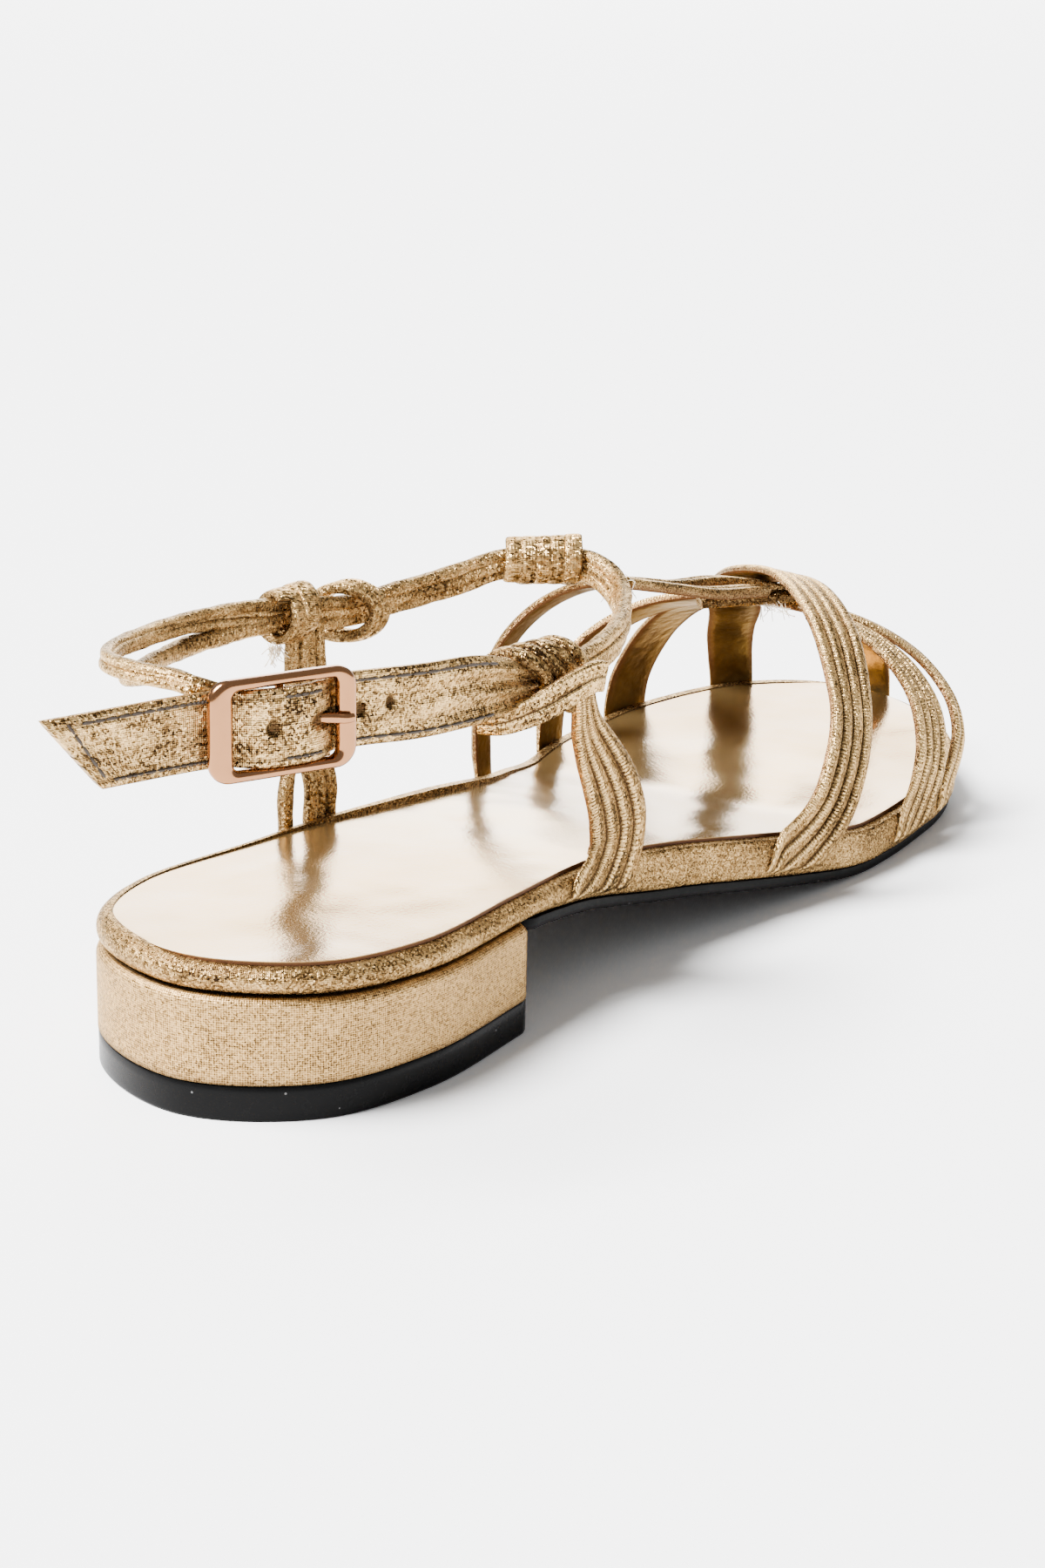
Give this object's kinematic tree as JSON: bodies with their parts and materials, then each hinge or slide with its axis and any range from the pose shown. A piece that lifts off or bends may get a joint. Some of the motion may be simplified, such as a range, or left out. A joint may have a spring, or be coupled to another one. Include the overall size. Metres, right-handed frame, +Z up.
{
  "type": "gladiator sandal",
  "caption": "Right gladiator sandal with ribbed crossed straps, cord ankle loop with side buckle, padded footbed edge, thin outsole and a low block heel.",
  "frame": {"origin": "On the floor, under the middle of the heel seat.", "axes": "+X to the toe, +Y to the inner side of the foot, +Z up."},
  "size_m": [0.3003, 0.0904, 0.0793],
  "materials": {
    "heel_top_black": "glossy",
    "heel_gold": "metallic woven",
    "outsole_black": "satin",
    "band_gold": "metallic woven",
    "footbed_gold": "glossy metallic",
    "strap_gold": "metallic glitter",
    "cord_gold": "metallic glitter",
    "buckle_rose_metal": "polished rose gold"
  },
  "bodies": {
    "root": {"heel_tip": "heel_top_black", "heel_block": "heel_gold", "outsole": "outsole_black", "midsole": "band_gold", "insole": "footbed_gold", "upper": "strap_gold", "ankle_cords": "cord_gold", "coil_wrap": "cord_gold", "slip_knot": "cord_gold", "inner_upright": "cord_gold", "outer_upright": "strap_gold", "buckle_strap": "strap_gold", "buckle_frame": "buckle_rose_metal", "buckle_prong": "buckle_rose_metal"}
  },
  "joints": []
}
